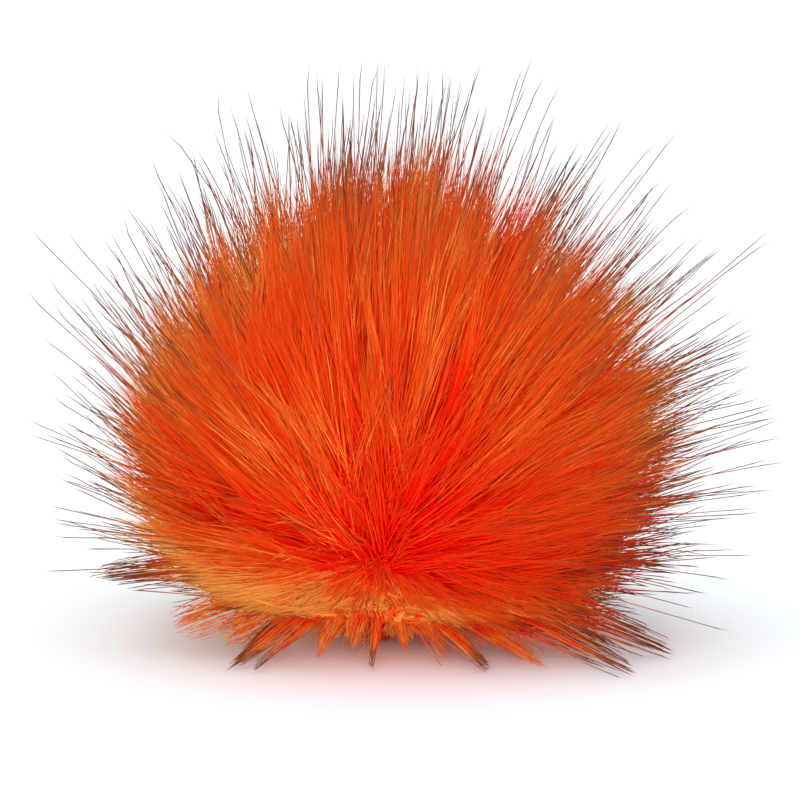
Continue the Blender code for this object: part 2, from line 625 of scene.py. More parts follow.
    def swirled(self, roots: Array, tips: Array) -> Array:
        """Return the roots turned about the parting, so that the fur on the left sweeps upwards.

        Args:
            roots: Root directions.
            tips: Tip directions.

        Returns:
            Root directions, turned anticlockwise as seen from the front.
        """
        left = from_least(self.swirl_least, eased(*self.swirl_right, tips[:, 0]))
        angle = (self.swirl * left * eased(*self.swirl_up, tips @ self.rise))[:, None]
        along = np.outer(roots @ self.parting, self.parting)
        square = np.cross(self.parting, roots)
        return roots * np.cos(angle) + square * np.sin(angle) + along * (1.0 - np.cos(angle))

    def path(self, roots: Array, tips: Array, shares: Array) -> Array:
        """Return points along the fur.

        Args:
            roots: Root directions, N x 3.
            tips: Tip directions, N x 3.
            shares: Shares of the way to the reach of the fur, N x M.

        Returns:
            The points, N x M x 3.
        """
        roots = self.swirled(roots, tips)
        turn = np.minimum(shares, 1.0) + self.overshoot_turn * np.maximum(shares - 1.0, 0.0)
        ways = unit(roots[:, None] * (1.0 - turn[:, :, None]) + tips[:, None] * turn[:, :, None])
        lengths = self.root_radius + self.pile(tips)[:, None] * shares
        return self.centre + ways * lengths[:, :, None]

    def above_floor(self, points: Array) -> Array:
        """Level out the points that come near the floor.

        Args:
            points: The points, whose heights are changed in place.

        Returns:
            The same points, all of them above it.
        """
        height = points[..., 2]
        low = self.floor_ease * np.exp(np.minimum(height / self.floor_ease, 1.0) - 1.0)
        points[..., 2] = np.where(height < self.floor_ease, low, height)
        return points


# ---- the strands


@dataclass(frozen=True)
class StrandMesh:
    """The arrays of one modelled strand: offsets across, places along, corners and triangles."""

    offsets: Array
    along: Array
    corner: Array
    faces: Array

    def ring_places(self) -> Array:
        """Return the places along the strand that hold points."""
        return np.unique(np.round(self.along, 5))


@dataclass(frozen=True)
class StrandShape:
    """The shape of one strand, modelled once at length 1 along +Z and copied for the whole coat.

    Attributes:
        rings: Place along the strand and width of each cut, from root to tip.
        root_width: The width at the root.
    """

    rings: tuple[Range, ...]
    root_width: float = 0.6

    def model(self) -> StrandMesh:
        """Model the strand from a three-sided cone.

        Returns:
            Its arrays.
        """
        bpy.ops.object.select_all(action="DESELECT")
        bpy.ops.mesh.primitive_cone_add(
            vertices=3, radius1=1.0, radius2=0.0, depth=1.0, location=(0.0, 0.0, 0.5)
        )
        bpy.ops.object.mode_set(mode="EDIT")
        for along, _ in self.rings:
            bpy.ops.mesh.select_all(action="SELECT")
            bpy.ops.mesh.bisect(plane_co=(0.0, 0.0, along), plane_no=(0.0, 0.0, 1.0))
        bpy.ops.mesh.select_all(action="SELECT")
        bpy.ops.mesh.quads_convert_to_tris()
        bpy.ops.object.mode_set(mode="OBJECT")
        model = bpy.context.object
        bpy.ops.object.transform_apply(location=True, rotation=True, scale=True)
        mesh = self._read(model.data)
        bpy.data.meshes.remove(model.data)
        return mesh

    def _read(self, mesh: bpy.types.Mesh) -> StrandMesh:
        """Read the modelled strand, with its rings at their widths.

        Args:
            mesh: The modelled strand.

        Returns:
            Its arrays.
        """
        points = np.array([tuple(vert.co) for vert in mesh.vertices])
        faces = np.array([tuple(face.vertices) for face in mesh.polygons])
        along = np.clip(points[:, 2], 0.0, 1.0)
        place = [0.0, *(ring[0] for ring in self.rings), 1.0]
        width = [self.root_width, *(ring[1] for ring in self.rings), 0.0]
        size = np.hypot(points[:, 0], points[:, 1])
        scale = np.interp(along, place, width) / np.maximum(size, TINY)
        offsets = points[:, :2] * np.where(size > TINY, scale, 0.0)[:, None]
        turn = np.degrees(np.arctan2(points[:, 1], points[:, 0]))
        corner = np.where(size > TINY, np.round(turn / 120.0) % 3, 1).astype(int)
        return StrandMesh(offsets, along, corner, faces)


@dataclass(frozen=True)
class StrandSet:
    """Some strands of one layer: their points, their map, the modelled strand and their zones."""

    points: Array
    places: Array
    mesh: StrandMesh
    zones: Array

    def only(self, kept: Array) -> "StrandSet":
        """Return the strands that are kept."""
        return StrandSet(self.points[kept], self.places[kept], self.mesh, self.zones[kept])


class Zone(Enum):
    """The pieces that the coat is parted into, by the way that the fur points."""

    TOP = "top"
    FRONT = "front"
    RIGHT = "right"
    BACK = "back"
    LEFT = "left"
    UNDER = "under"


class Layer(Enum):
    """The three layers of the coat."""

    UNDERFUR = "underfur"
    PILE = "pile"
    GUARD = "guard hair"


@dataclass(frozen=True)
class LayerPlan:
    """How one layer of the coat grows.

    Attributes:
        strands: How many strands there are all over.
        shape: The strand's shape.
        comb: How the layer is combed.
        ends: Shortest and longest end, in metres past the reach of the fur.
        skew: The two powers of the beta distribution of the ends between them.
        width: Thinnest and thickest strand, in metres.
        tuft_pull: How strongly a tip is drawn to the middle of its tuft.
        lock_pull: The same for its lock.
        stray: How far a tip bends off its path, in metres.
    """

    strands: int
    shape: StrandShape
    comb: Comb
    ends: Range
    skew: Range
    width: Range
    tuft_pull: float
    lock_pull: float
    stray: float


LAYERS: dict[Layer, LayerPlan] = {
    Layer.UNDERFUR: LayerPlan(
        strands=20000,
        shape=StrandShape(((0.62, 1.0),), 0.8),
        comb=Comb(0.0, 0.0, 0.84),
        ends=(-17.0 * MM, 1.0 * MM),
        skew=(2.2, 1.2),
        width=(0.60 * MM, 1.00 * MM),
        tuft_pull=0.40,
        lock_pull=0.05,
        stray=1.0 * MM,
    ),
    Layer.PILE: LayerPlan(
        strands=36000,
        shape=StrandShape(((0.40, 1.0), (0.80, 0.85)), 0.7),
        comb=Comb(math.radians(9.0), math.radians(34.0), 0.78),
        ends=(-14.0 * MM, 8.0 * MM),
        skew=(2.2, 1.6),
        width=(0.15 * MM, 0.24 * MM),
        tuft_pull=0.62,
        lock_pull=0.12,
        stray=1.5 * MM,
    ),
    Layer.GUARD: LayerPlan(
        strands=10000,
        shape=StrandShape(((0.38, 1.0), (0.95, 0.85)), 0.7),
        comb=Comb(math.radians(16.0), math.radians(32.0), 0.84),
        ends=(-9.0 * MM, 26.0 * MM),
        skew=(1.5, 2.3),
        width=(0.19 * MM, 0.27 * MM),
        tuft_pull=0.55,
        lock_pull=0.20,
        stray=3.6 * MM,
    ),
}


@dataclass(frozen=True)
class TuftPlan:
    """How the strands gather.

    Attributes:
        count: How many tufts there are all over.
        lean: How far a tuft leans off the lie of the fur, as a share of its reach.
        shift: How far its root lies off its place, as a share of the root's radius.
        uneven: How much longer or shorter than the fur a tuft is, in metres.
        bulge: How far it bows towards the parting or away from it, in metres.
        scatter: How far it lies off its even place, as a share of the gap between tufts.
    """

    count: int
    lean: float
    shift: float
    uneven: float
    bulge: float
    scatter: float = 0.35


class Tufts:
    """Tufts that strands are drawn together into, the same ones for every layer.

    Args:
        plan: How many there are and how they lean.
        flow: The lie of the fur.
        chance: The seeded source of their unevenness.
        wider: The wider locks that these tufts are part of and lean with.
    """

    def __init__(
        self,
        plan: TuftPlan,
        flow: FurFlow,
        chance: np.random.Generator,
        wider: Optional["Tufts"] = None,
    ) -> None:
        """Scatter the tufts' middles."""
        self.flow = flow
        self.middles = scattered(plan.count, plan.scatter, chance)
        self.leans = chance.normal(0.0, plan.lean, (plan.count, 3))
        self.shifts = chance.normal(0.0, plan.shift, (plan.count, 3))
        self.longer = chance.normal(0.0, plan.uneven, plan.count)
        self.bulges = chance.normal(0.0, plan.bulge, plan.count)
        self.share = chance.random(plan.count)
        self.tree = KDTree(plan.count)
        for index, middle in enumerate(self.middles):
            self.tree.insert(middle, index)
        self.tree.balance()
        if wider:
            lock = wider.nearest(self.middles)
            self.leans += wider.leans[lock]
            self.longer += wider.longer[lock]
            self.bulges += wider.bulges[lock]

    def nearest(self, tips: Array) -> Array:
        """Return the number of the tuft that each tip direction falls in."""
        return np.array([self.tree.find(tip)[1] for tip in tips])

    def lie(self, roots: Array, comb: Comb, tufts: Array) -> tuple[Array, Array]:
        """Return where hairs of these tufts are rooted and where they point, leaning with them."""
        ends = self.flow.lifted(unit(self.flow.combed(roots, comb) + self.leans[tufts]))
        return unit(roots + self.shifts[tufts]), ends

    def paths(self, comb: Comb, tufts: Array, shares: Array) -> Array:
        """Return the paths of these tufts at these shares.

        Args:
            comb: How the layer is combed.
            tufts: The number of each strand's tuft.
            shares: The shares of the way at which each path is wanted.

        Returns:
            The points, N x M x 3.
        """
        flow = self.flow
        least = flow.nearest(self.middles, comb) + flow.parting_clearance
        beyond = np.maximum(flow.parting_angle(self.middles), least)
        roots = flow.uncombed(flow.turned(self.middles, beyond), comb)
        roots, ends = self.lie(roots, comb, np.arange(len(roots)))
        return flow.path(roots[tufts], ends[tufts], shares)


# ---- what is placed after the photograph


@dataclass(frozen=True)
class StraightHair:
    """One of the long guard hairs that stand out of the coat on their own, as seen from the front.

    Attributes:
        around: The way from the parting to its tip, in degrees anticlockwise from the right.
        reach: How far its tip is from the parting, in millimetres.
        lean: How far its end is turned off that way, in degrees anticlockwise.
    """

    around: float
    reach: float
    lean: float

    def place(self, back: float) -> Range:
        """Return a place on the hair, from the parting.

        Args:
            back: How far the place is from the tip, in millimetres.

        Returns:
            Millimetres to the right and upwards.
        """
        way, end = math.radians(self.around), math.radians(self.around + self.lean)
        right = self.reach * math.cos(way) - back * math.cos(end)
        return right, self.reach * math.sin(way) - back * math.sin(end)


@dataclass(frozen=True)
class Wisp:
    """A tuft that stands out below the coat on its own.

    Sizes are millimetres, and places are counted right of the parting and above it, as it is
    seen from the front.

    Attributes:
        root: Where the wisp leaves the coat.
        tip: Where it ends.
        bend: How far its middle bends off the straight line.
        strands: How many hairs it has.
        spread: How wide it is at its root.
        tone: The tone of its hairs, from 0, dark, to 1, pale.
        guard: Whether they turn brown towards the tips, as guard hairs do.
    """

    root: Range
    tip: Range
    bend: Range
    strands: int
    spread: float
    tone: float
    guard: bool = True


WISPS: tuple[Wisp, ...] = (
    Wisp((-0.5, -8.0), (-1.8, -21.5), (0.8, 0.0), 60, 1.8, 0.68),
    Wisp((10.0, -8.0), (21.5, -21.5), (-1.5, -3.5), 80, 3.0, 0.66),
    Wisp((-13.0, -7.0), (-29.0, -21.0), (0.0, -1.0), 130, 4.6, 0.70),
    Wisp((-9.0, -9.0), (-24.5, -21.5), (0.0, -0.5), 24, 2.6, 0.68),
    Wisp((-6.0, -8.0), (-12.5, -20.0), (-0.5, 0.0), 50, 4.6, 0.62, False),
    Wisp((-3.0, -8.0), (-6.0, -18.5), (0.0, 0.0), 50, 4.0, 0.60, False),
    Wisp((3.5, -8.0), (5.5, -18.5), (0.0, 0.0), 50, 4.0, 0.60, False),
    Wisp((6.0, -8.0), (13.0, -20.0), (0.5, 0.0), 50, 4.6, 0.60, False),
    Wisp((26.0, -9.0), (50.0, -21.5), (0.0, 1.0), 80, 9.0, 0.58),
    Wisp((34.0, -7.0), (58.0, -19.0), (0.0, 1.0), 50, 8.0, 0.56),
    Wisp((18.0, -11.0), (33.0, -21.0), (0.0, 0.0), 50, 6.0, 0.60, False),
    Wisp((-36.0, -1.0), (-56.0, -3.8), (0.0, 1.5), 50, 7.0, 0.68),
    Wisp((-24.0, -6.0), (-40.0, -12.0), (0.0, 0.0), 30, 6.0, 0.70, False),
    Wisp((-26.0, -6.0), (-41.0, -14.5), (0.0, -0.5), 60, 10.0, 0.66, False),
    Wisp((-18.0, -7.0), (-31.0, -16.0), (0.0, -0.5), 60, 9.0, 0.66, False),
    Wisp((14.0, -8.0), (26.0, -17.0), (0.0, -0.5), 60, 8.0, 0.58, False),
)

LONG_HAIRS: tuple[StraightHair, ...] = tuple(
    StraightHair(*row)
    for row in (
        # the right
        (-13, 73, -9), (-7, 65, 8), (-4, 70, -10), (0, 75, 1), (1, 71, 2), (9, 81, -10),
        (13, 83, -7), (16, 85, -6), (19, 84, 4), (29, 85, -9),
        # the upper right
        (39, 100, -5), (40, 101, 2), (43, 82, -3), (48, 95, -13), (52, 95, 1), (53, 94, -11),
        (55, 103, -4), (56, 100, -13), (61, 100, 3), (69, 101, -8), (71, 102, -9), (73, 105, -3),
        # the top
        (80, 96, -5), (82, 97, -3), (87, 97, -3), (90, 98, -20), (92, 100, -9), (93, 98, -6),
        (98, 99, -15), (106, 99, -1), (109, 98, -21),
        # the upper left
        (117, 95, 22), (120, 92, -9), (126, 85, 4), (126, 87, -1), (127, 85, -24), (133, 79, -25),
        (134, 90, -7), (137, 96, -5), (140, 88, -22), (141, 75, -22), (142, 83, -22), (143, 88, -14),
        # the left
        (154, 73, -14), (159, 76, -5), (160, 71, -3), (161, 74, 2), (162, 67, -24), (183, 68, -1),
    )
)


@dataclass(frozen=True)
class LongPlan:
    """How the long hairs stand in the coat.

    `depth` is how far before the parting their tips are, as a share of their reach, and `lower` the
    same for the start of the straight ends, as a share of the tips' depth.  `bend` is how far from
    its tip a hair bends, as a share of its length.
    """

    width: Range = (0.18 * MM, 0.26 * MM)
    depth: Range = (-0.14, 0.10)
    straight: float = 12.0
    lower: float = 0.85
    bend: float = 0.55
    tone: Range = (0.0, 0.35)


@dataclass(frozen=True)
class WispPlan:
    """How the hairs of the wisps spread.

    The first three are shares of the wisp's spread: `at_tip` is how far the tips follow the scatter
    of the roots, and `stray` how far they scatter besides.  `length` holds the powers of a beta
    distribution, and the heights and depths are millimetres.
    """

    at_root: float = 0.5
    at_tip: float = 0.08
    stray: float = 0.06
    length: Range = (3.0, 1.2)
    lowest: float = 0.5
    tip_depth: float = 14.0
    root_depth: float = 13.0
    uneven: float = 0.08


@dataclass(frozen=True)
class CollarPlan:
    """The short fur round the foot of the backing.

    `scatter` counts in wisps and `turn` in degrees, `slope` is the height of the roots as an angle,
    `reach` the length of a wisp from the middle, `share` that of its hairs, `foot` and `thick` where
    they end above the floor, and `tone` the mean of their tone and its unevenness.
    """

    strands: int = 1700
    wisps: int = 37
    scatter: float = 0.30
    turn: float = 4.0
    slope: Range = (math.radians(-72.0), math.radians(-30.0))
    reach: Range = (7.0 * MM, 15.0 * MM)
    share: Range = (0.85, 1.1)
    foot: Range = (0.3 * MM, 6.0 * MM)
    thick: float = 2.5 * MM
    bow: float = 2.0 * MM
    tone: Range = (0.76, 0.10)


# ---- the coat


@dataclass(frozen=True)
class TonePlan:
    """How the tone of the fur changes over the ball, from 0, deep red, to 1, pale orange.

    Each number is added to the tone or taken off it, in full where its part of the ball says so.
    Some of them are painted light and shade: the paler lower left and the paler fur hanging down in
    front are painted light, and the deeper red on the right, round the parting and in the underfur is
    painted shade.  `right_drop` is how much of the painted shade on the right is gone where the fur
    hangs down, and `rim_share` how much of the pile at the rim turns brown as guard hairs do, with
    `rim_share_right` more of it on the right.
    """

    base: float = 0.37
    paler: Weighted = (
        # painted light: the lower left made paler, as where more light falls on it
        (0.68, LOW_LEFT),
        # painted light: the fur hanging down in front made paler, in place of light that the floor
        # and the fur above keep from it
        (0.38, Region(back=(-0.35, -1.0), up=(0.05, -0.35))),
        (0.25, RIM),
        (0.20, Region(right=(-0.10, -0.60), up=(-0.1, 0.3), aside=RIM.aside)),
        (-0.06, Region(right=(-0.10, -0.60), up=(-0.1, 0.3))),
        (0.04, Region(up=(-0.2, 0.1), facing=(0.60, 0.92))),
        # painted shade: the fur round the parting, in the middle, made much deeper red, as shade in
        # its hollow
        (-0.40, Region(right=(-0.15, 0.30), up=(-0.2, 0.1), facing=(0.60, 0.92))),
    )
    right: Region = Region(right=(0.1, 0.9), up=(0.5, -0.1))
    # painted shade: the fur on the right, short of where it hangs down, made deeper red
    right_painted_shade: float = 0.36
    right_drop: float = 1.3
    tuft: float = 0.31
    lock: float = 0.40
    strand: float = 0.03
    # painted shade: the underfur, beneath the pile, made deeper red
    underfur_painted_shade: float = 0.12
    guard_deeper: float = 0.02
    # painted shade: the underfur in the parting's hollow made deeper red still
    parting: Region = Region(facing=(0.88, 0.99))
    parting_painted_shade: float = 0.25
    rim_share: float = 0.26
    rim_share_right: float = 0.36
    rim_less: Weighted = ((1.0, LOW_LEFT), (0.7, DROP), (0.6, Region(right=(-0.10, -0.60))))


@dataclass
class FurCoat:
    """The coat: all the strands, grown layer by layer and parted into one mesh a zone.

    `lowest_roots` is where the coat thins out downwards, as angles above the horizontal.  The
    scatters are shares of the gap between strands and of the root's radius.  `longest` is in metres
    past the reach of the fur, and `shortest` a share of the way to it.  `guard_least` is how much of
    the guard hair grows in the middle of the front, `gather_power` how late along the strands they
    gather, `full` where the underfur has its full width, `short_width` its share of that in the
    parting, and `softness` how far the strands' normals are turned outwards.
    """

    flow: FurFlow
    finish: FurFinish = FurFinish()
    layout: FurMap = FurMap()
    toning: TonePlan = TonePlan()
    tufts: TuftPlan = TuftPlan(1900, 0.080, 0.12, 1.5 * MM, 3.0 * MM)
    locks: TuftPlan = TuftPlan(190, 0.08, 0.05, 1.1 * MM, 2.5 * MM)
    long_plan: LongPlan = LongPlan()
    wisp_plan: WispPlan = WispPlan()
    collar_plan: CollarPlan = CollarPlan()
    lowest_roots: Range = (math.radians(-68.0), math.radians(-35.0))
    strand_scatter: float = 0.6
    root_scatter: float = 0.07
    longest: float = 20.0 * MM
    shortest: float = 0.2
    guard_least: float = 0.12
    fewer_guards: Weighted = (
        (0.9, Region(back=(0.2, -0.4), up=(0.0, -0.3))),
        (0.25, Region(right=(0.0, -0.6))),
    )
    gather_power: float = 1.4
    gather_least: float = 0.55
    full: Region = Region(aside=(math.radians(15.0), math.radians(50.0)))
    short_width: float = 0.45
    turn_scatter: float = 0.25
    sharpest_bend: float = math.radians(48.0)
    softness: float = 0.62
    top_above: float = 0.68
    under_below: float = -0.30
    seed: int = 7
    chance: np.random.Generator = field(init=False)

    def __post_init__(self) -> None:
        """Seed the unevenness."""
        self.chance = np.random.default_rng(self.seed)

    def build(self) -> list[bpy.types.Object]:
        """Grow every layer.

        Returns:
            The zones' pieces.
        """
        locks = Tufts(self.locks, self.flow, self.chance)
        tufts = Tufts(self.tufts, self.flow, self.chance, locks)
        grown = [self.grow(layer, plan, tufts, locks) for layer, plan in LAYERS.items()]
        grown += [self.long_hairs(), self.wisps(), self.collar()]
        material = self.finish.material()
        parts = {zone: [one.only(one.zones == zone.value) for one in grown] for zone in Zone}
        return [self.join(zone, sets, material) for zone, sets in parts.items()]

    def share(self, region: Region, ways: Array) -> Array:
        """Return how far each direction lies in a part of the ball."""
        return region.share(ways, self.flow.parting)

    def less(self, fewer: Weighted, ways: Array) -> Array:
        """Return what is left after something gets less in parts of the ball.

        Args:
            fewer: How much less there is in each part.
            ways: The directions.

        Returns:
            Shares from 0 to 1.
        """
        left = np.ones(len(ways))
        for lost, region in fewer:
            left *= 1.0 - lost * self.share(region, ways)
        return left

    def long_hairs(self) -> StrandSet:
        """Grow the long guard hairs that stand out of the coat on their own.

        Returns:
            The long hairs.
        """
        plan, flow = self.long_plan, self.flow
        tips = np.array([hair.place(0.0) for hair in LONG_HAIRS])
        lower = np.array([hair.place(plan.straight) for hair in LONG_HAIRS])
        depth = self.chance.uniform(*plan.depth, len(tips)) * np.hypot(*tips.T)
        tip = flow.from_front(tips, depth)
        low = flow.from_front(lower, plan.lower * depth)
        root = unit(low) * flow.root_radius
        reach = np.linalg.norm(tip - root, axis=1, keepdims=True)
        middle = tip - unit(tip - low) * plan.bend * reach
        tone = self.chance.uniform(*plan.tone, len(tips))
        return self.curved(root, middle, tip, plan.width, tone)

    def wisps(self) -> StrandSet:
        """Grow the wisps that hang below the coat, and end on the floor.

        Returns:
            The strands of all the wisps.
        """
        plan, flow, chance = self.wisp_plan, self.flow, self.chance
        rows = [wisp for wisp in WISPS for _ in range(wisp.strands)]
        count = len(rows)
        spread = np.array([wisp.spread for wisp in rows])[:, None]
        shape = chance.normal(0.0, 1.0, (count, 2))
        tips = np.array([wisp.tip for wisp in rows]) + plan.at_tip * spread * shape
        tips += plan.stray * spread * chance.normal(0.0, 1.0, (count, 2))
        starts = np.array([wisp.root for wisp in rows]) + plan.at_root * spread * shape
        tips = starts + (tips - starts) * chance.beta(*plan.length, (count, 1))
        lowest = plan.lowest - flow.backing_height / MM
        on_floor = (lowest - tips[:, 1] * flow.rise[2]) / flow.parting[2]
        tip = flow.from_front(tips, np.maximum(on_floor, plan.tip_depth))
        start = flow.from_front(starts, np.full(count, plan.root_depth))
        bend = flow.from_front(np.array([wisp.bend for wisp in rows]), np.zeros(count))
        middle = 0.5 * (start + tip) + bend
        tone = np.array([wisp.tone for wisp in rows]) + chance.normal(0.0, plan.uneven, count)
        guard = np.array([wisp.guard for wisp in rows])
        width = LAYERS[Layer.PILE].width
        return self.curved(unit(start) * flow.root_radius, middle, tip, width, tone, guard)

    def collar(self) -> StrandSet:
        """Grow the short fur round the foot of the backing.

        Returns:
            The collar's strands.
        """
        plan, flow, chance = self.collar_plan, self.flow, self.chance
        count = plan.strands
        wisp = chance.integers(0, plan.wisps, count)
        around = 2.0 * math.pi * (wisp + chance.normal(0.0, plan.scatter, count)) / plan.wisps
        out = level_ways(around)
        slope = chance.uniform(*plan.slope, count)
        root = out * np.cos(slope)[:, None]
        root[:, 2] = np.sin(slope)
        root *= flow.root_radius
        reach = chance.uniform(*plan.reach, plan.wisps)[wisp][:, None]
        turned = np.radians(360.0 / plan.wisps * wisp + chance.normal(0.0, plan.turn, count))
        tip = level_ways(turned) * reach
        tip *= chance.uniform(*plan.share, (count, 1))
        foot = chance.uniform(*plan.foot, plan.wisps)[wisp]
        tip[:, 2] = foot + chance.uniform(0.0, plan.thick, count) - flow.backing_height
        middle = 0.5 * (root + tip) + out * plan.bow
        tone = chance.normal(*plan.tone, count)
        return self.curved(root, middle, tip, LAYERS[Layer.PILE].width, tone, False)

    def curved(
        self,
        root: Array,
        middle: Array,
        tip: Array,
        widths: Range,
        tone: Array,
        guard: Union[bool, Array] = True,
    ) -> StrandSet:
        """Make hairs on curves from root to tip.

        Args:
            root: Where the hairs start, from the backing's centre.
            middle: The points that the curves bend towards.
            tip: Where the hairs end.
            widths: Thinnest and thickest hair.
            tone: Each hair's tone, from 0 to 1.
            guard: Whether the hairs turn brown at their ends, as guard hairs do.

        Returns:
            The hairs.
        """
        mesh = LAYERS[Layer.GUARD].shape.model()
        places = mesh.ring_places()
        share = places[None, :, None]
        path = (
            (1.0 - share) ** 2 * root[:, None]
            + 2.0 * share * (1.0 - share) * middle[:, None]
            + share**2 * tip[:, None]
        )
        path = self.flow.above_floor(path + self.flow.centre)
        points = self.sweep(mesh, places, path, self.chance.uniform(*widths, len(tip)))
        place = self.layout.place(tone, guard)
        return StrandSet(points, self.map_of(mesh, place), mesh, self.zones(unit(tip)))

    def rooted(self, layer: Layer, plan: LayerPlan) -> tuple[Array, Array]:
        """Spread a layer's strands over the backing, fewer of them where less of it grows.

        Args:
            layer: The layer.
            plan: How it grows.

        Returns:
            Root directions, and the directions of the tips before they lean.
        """
        flow = self.flow
        tips = scattered(plan.strands, self.strand_scatter, self.chance)
        tips = tips[flow.parting_angle(tips) > flow.nearest(tips, plan.comb)]
        roots = flow.uncombed(tips, plan.comb)
        share = eased(*self.lowest_roots, flow.elevation(roots))
        if layer is Layer.GUARD:
            share *= from_least(self.guard_least, self.share(RIM, tips))
            share *= self.less(self.fewer_guards, tips)
        kept = self.chance.random(len(roots)) < share
        return roots[kept], tips[kept]

    def grow(self, layer: Layer, plan: LayerPlan, tufts: Tufts, locks: Tufts) -> StrandSet:
        """Grow one layer.

        Args:
            layer: The layer.
            plan: How it grows.
            tufts: The tufts that its tips gather in.
            locks: The wider locks that the tufts gather in.

        Returns:
            The layer's strands.
        """
        flow, chance = self.flow, self.chance
        mesh = plan.shape.model()
        roots, tips = self.rooted(layer, plan)
        count = len(roots)
        tuft, lock = tufts.nearest(tips), locks.nearest(tips)
        roots, ends = tufts.lie(roots, plan.comb, tuft)
        roots = unit(roots + chance.normal(0.0, self.root_scatter, roots.shape))
        spread = plan.ends[1] - plan.ends[0]
        further = plan.ends[0] + spread * chance.beta(*plan.skew, count)
        further = np.minimum(further + tufts.longer[tuft], self.longest)
        pile = flow.pile(ends)
        length = 1.0 + further / np.maximum(pile, flow.full_pile)
        freedom = np.minimum(pile / flow.full_pile, 1.0)
        places = mesh.ring_places()
        shares = np.maximum(length, self.shortest)[:, None] * places[None]
        path = flow.path(roots, ends, shares)
        ease = places[None, :, None] ** self.gather_power
        gather = plan.tuft_pull * from_least(self.gather_least, chance.random(count))[:, None, None]
        path += (tufts.paths(plan.comb, tuft, shares) - path) * gather * ease
        path += (locks.paths(plan.comb, lock, shares) - path) * plan.lock_pull * ease
        bend = unit(np.cross(ends, chance.normal(size=(count, 3))))
        stray = chance.normal(0.0, plan.stray, count) * freedom
        path += bend[:, None] * (stray[:, None, None] * ease**self.gather_power)
        path += self.bow(ends, places, tufts.bulges[tuft] * freedom)
        path = flow.above_floor(path)
        width = chance.uniform(*plan.width, count)
        if layer is Layer.UNDERFUR:
            width *= from_least(self.short_width, self.share(self.full, ends))
        tone = self.tones(layer, ends, tufts.share[tuft], locks.share[lock])
        points = self.sweep(mesh, places, path, width)
        grown = StrandSet(points, self.map_of(mesh, tone), mesh, self.zones(ends))
        grown = grown.only(self.unkinked(path))
        LOG.info("%s: %d strands of %d triangles", layer.value, len(grown.zones), len(mesh.faces))
        return grown

    def unkinked(self, path: Array) -> Array:
        """Find the strands that nowhere bend more sharply than hair can.

        Args:
            path: The strands' paths.

        Returns:
            Whether each strand is one of them.
        """
        runs = unit(np.diff(path, axis=1))
        turns = (runs[:, 1:] * runs[:, :-1]).sum(axis=2)
        return (turns > math.cos(self.sharpest_bend)).all(axis=1)

    def bow(self, ends: Array, places: Array, bulges: Array) -> Array:
        """Return how far the strands bow towards the parting along their length.

        Args:
            ends: Where the strands point.
            places: The places along a strand that hold points.
            bulges: How far each strand bows in its middle.

        Returns:
            The offsets, N x M x 3.
        """
        parting = self.flow.parting
        facing = unit(parting - (ends @ parting)[:, None] * ends)
        arch = np.sin(math.pi * np.clip(places, 0.0, 1.0))
        return facing[:, None] * (bulges[:, None] * arch[None])[:, :, None]

    def tones(self, layer: Layer, ends: Array, tuft: Array, lock: Array) -> Array:
        """Return each strand's place across the fur's map: its family and its tone.

        Args:
            layer: The strands' layer.
            ends: Where the strands point.
            tuft: A number from 0 to 1 for each strand's tuft.
            lock: The same for its lock.

        Returns:
            Places from 0 to 1 across the map.
        """
        plan, count = self.toning, len(ends)
        drop = plan.right_drop * self.share(DROP, ends)
        right = self.share(plan.right, ends) * (1.0 - drop)
        # painted shade: the right side made deeper red, less so where the fur hangs down
        tone = plan.base - plan.right_painted_shade * right
        # the paler table paints light on the lower left and the front that hangs down, and painted
        # shade round the parting
        for paler, region in plan.paler:
            tone += paler * self.share(region, ends)
        tone += plan.tuft * (tuft - 0.5) + plan.lock * (lock - 0.5)
        tone += self.chance.normal(0.0, plan.strand, count)
        if layer is Layer.UNDERFUR:
            # painted shade: the underfur deeper red, and deeper still in the parting's hollow
            tone -= plan.underfur_painted_shade + plan.parting_painted_shade * self.share(plan.parting, ends)
        guard = np.full(count, layer is Layer.GUARD)
        if layer is Layer.PILE:
            rim = self.share(RIM, ends) * self.less(plan.rim_less, ends)
            share = plan.rim_share + plan.rim_share_right * right
            guard = self.chance.random(count) < share * rim
        return self.layout.place(tone - plan.guard_deeper * guard, guard)

    def zones(self, ends: Array) -> Array:
        """Find the zones of strands.

        Args:
            ends: Where the strands point.

        Returns:
            The value of each strand's zone.
        """
        around = np.degrees(np.arctan2(ends[:, 1], ends[:, 0]))
        side = np.select(
            [np.abs(around + 90.0) <= 45.0, np.abs(around) < 45.0, np.abs(around - 90.0) <= 45.0],
            [Zone.FRONT.value, Zone.RIGHT.value, Zone.BACK.value],
            Zone.LEFT.value,
        )
        side = np.where(ends[:, 2] > self.top_above, Zone.TOP.value, side)
        return np.where(ends[:, 2] < self.under_below, Zone.UNDER.value, side)

    def sweep(self, mesh: StrandMesh, places: Array, path: Array, width: Array) -> Array:
        """Carry the modelled strand along each path.

        Args:
            mesh: The modelled strand.
            places: The places along the strand that hold points.
            path: The strands' paths at those places.
            width: Each strand's width.

        Returns:
            The points of all the strands, N x V x 3.
        """
        tangent = unit(np.gradient(path, axis=1))
        chord = unit(path[:, -1] - path[:, 0])
        facing = unit(self.flow.parting - (chord @ self.flow.parting)[:, None] * chord)
        beside = -unit(facing + self.chance.normal(0.0, self.turn_scatter, chord.shape))
        side = unit(np.cross(tangent, np.broadcast_to(beside[:, None], tangent.shape)))
        over = np.cross(tangent, side)
        ring = np.searchsorted(places, np.round(mesh.along, 5))
        across = mesh.offsets[None] * (0.5 * width)[:, None, None]
        return (
            path[:, ring]
            + side[:, ring] * across[:, :, 0, None]
            + over[:, ring] * across[:, :, 1, None]
        )

